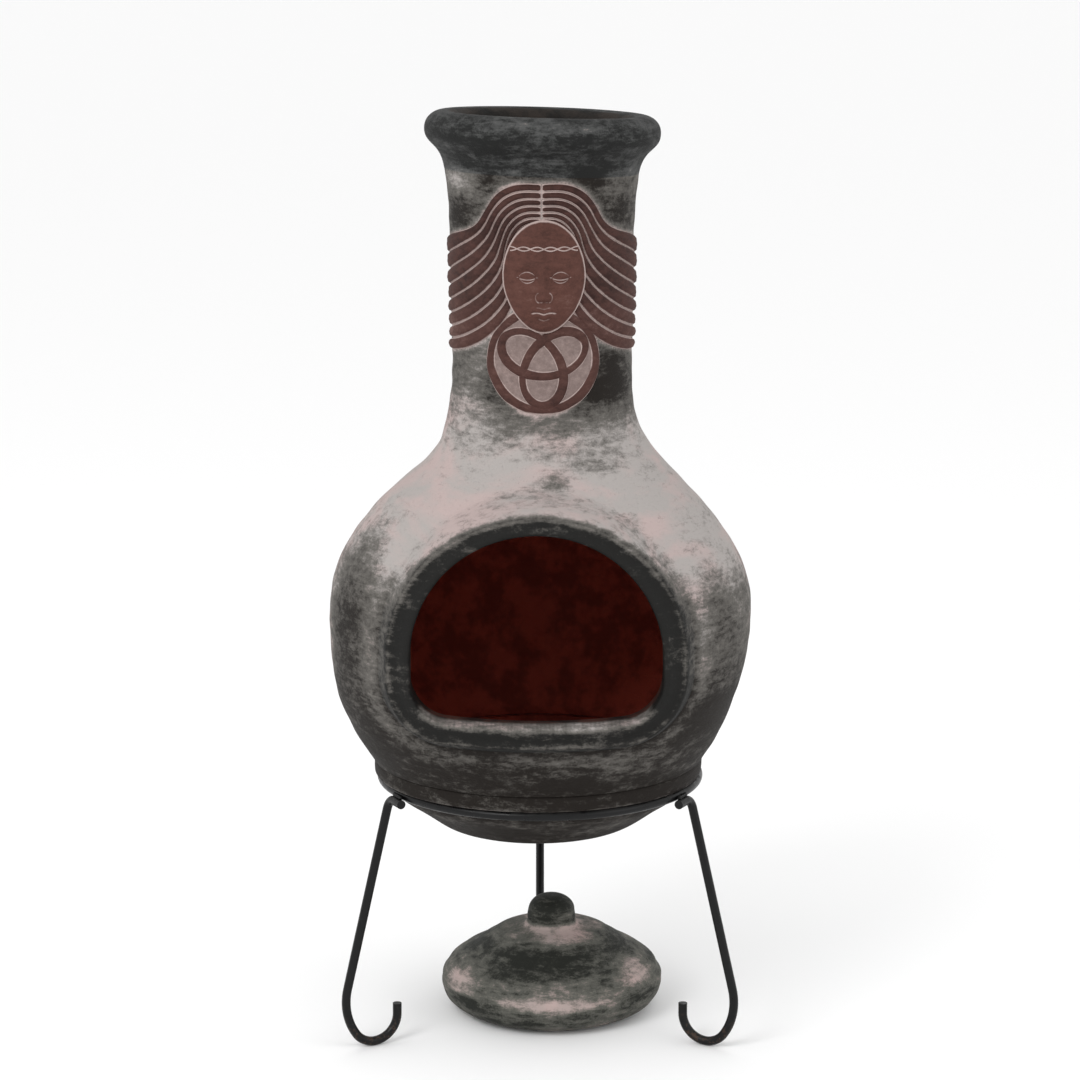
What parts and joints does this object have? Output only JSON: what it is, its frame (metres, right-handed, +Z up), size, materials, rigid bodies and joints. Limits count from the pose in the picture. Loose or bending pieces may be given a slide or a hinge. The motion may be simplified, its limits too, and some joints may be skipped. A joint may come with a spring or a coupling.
{
  "type": "chiminea",
  "caption": "Clay chiminea: round fire bowl with a lipped mouth and a rolled-rim chimney bearing a relief head, loose on a bent-rod stand, with its domed lid on the ground below.",
  "frame": {"origin": "on the ground below the pot's axis, at the centre of the whole object's footprint", "axes": "+Z up the chimney, -Y out of the mouth, +X to the right of someone facing the mouth"},
  "size_m": [0.567, 0.5987, 1.2439],
  "materials": {
    "washed_clay": "matt fired clay with a grey wash",
    "smoked_clay": "matt fired clay, darkened",
    "relief_clay": "matt fired clay, brown",
    "relief_ground": "matt fired clay, pale",
    "lid_clay": "matt fired clay with a grey wash",
    "black_rod": "satin black paint"
  },
  "bodies": {
    "stand": {"support_ring": "black_rod", "ring_closing_weld": "black_rod", "front_left_leg": "black_rod", "front_right_leg": "black_rod", "rear_leg": "black_rod", "leg_welds": "black_rod"},
    "pot": {"base_dish": "washed_clay", "seating_band": "washed_clay", "bowl_belly": "washed_clay", "bowl_shoulder": "washed_clay", "chimney_neck": "washed_clay", "rolled_rim": "washed_clay", "mouth_collar": "smoked_clay", "head_relief": "relief_clay", "brow_band": "relief_clay", "hair_left": "relief_clay", "hair_right": "relief_clay", "knot_strands": "relief_clay", "knot_plaque": "relief_ground"},
    "lid": {"lid_dome": "lid_clay", "lid_knob": "lid_clay"}
  },
  "joints": [
    {"name": "pot_lift", "type": "slide", "parent": "stand", "child": "pot", "axis": [0, 0, 1], "range_m": [0, 0.3]},
    {"name": "lid_draw", "type": "slide", "parent": "stand", "child": "lid", "axis": [0, -1, 0], "range_m": [0, 0.6]}
  ]
}
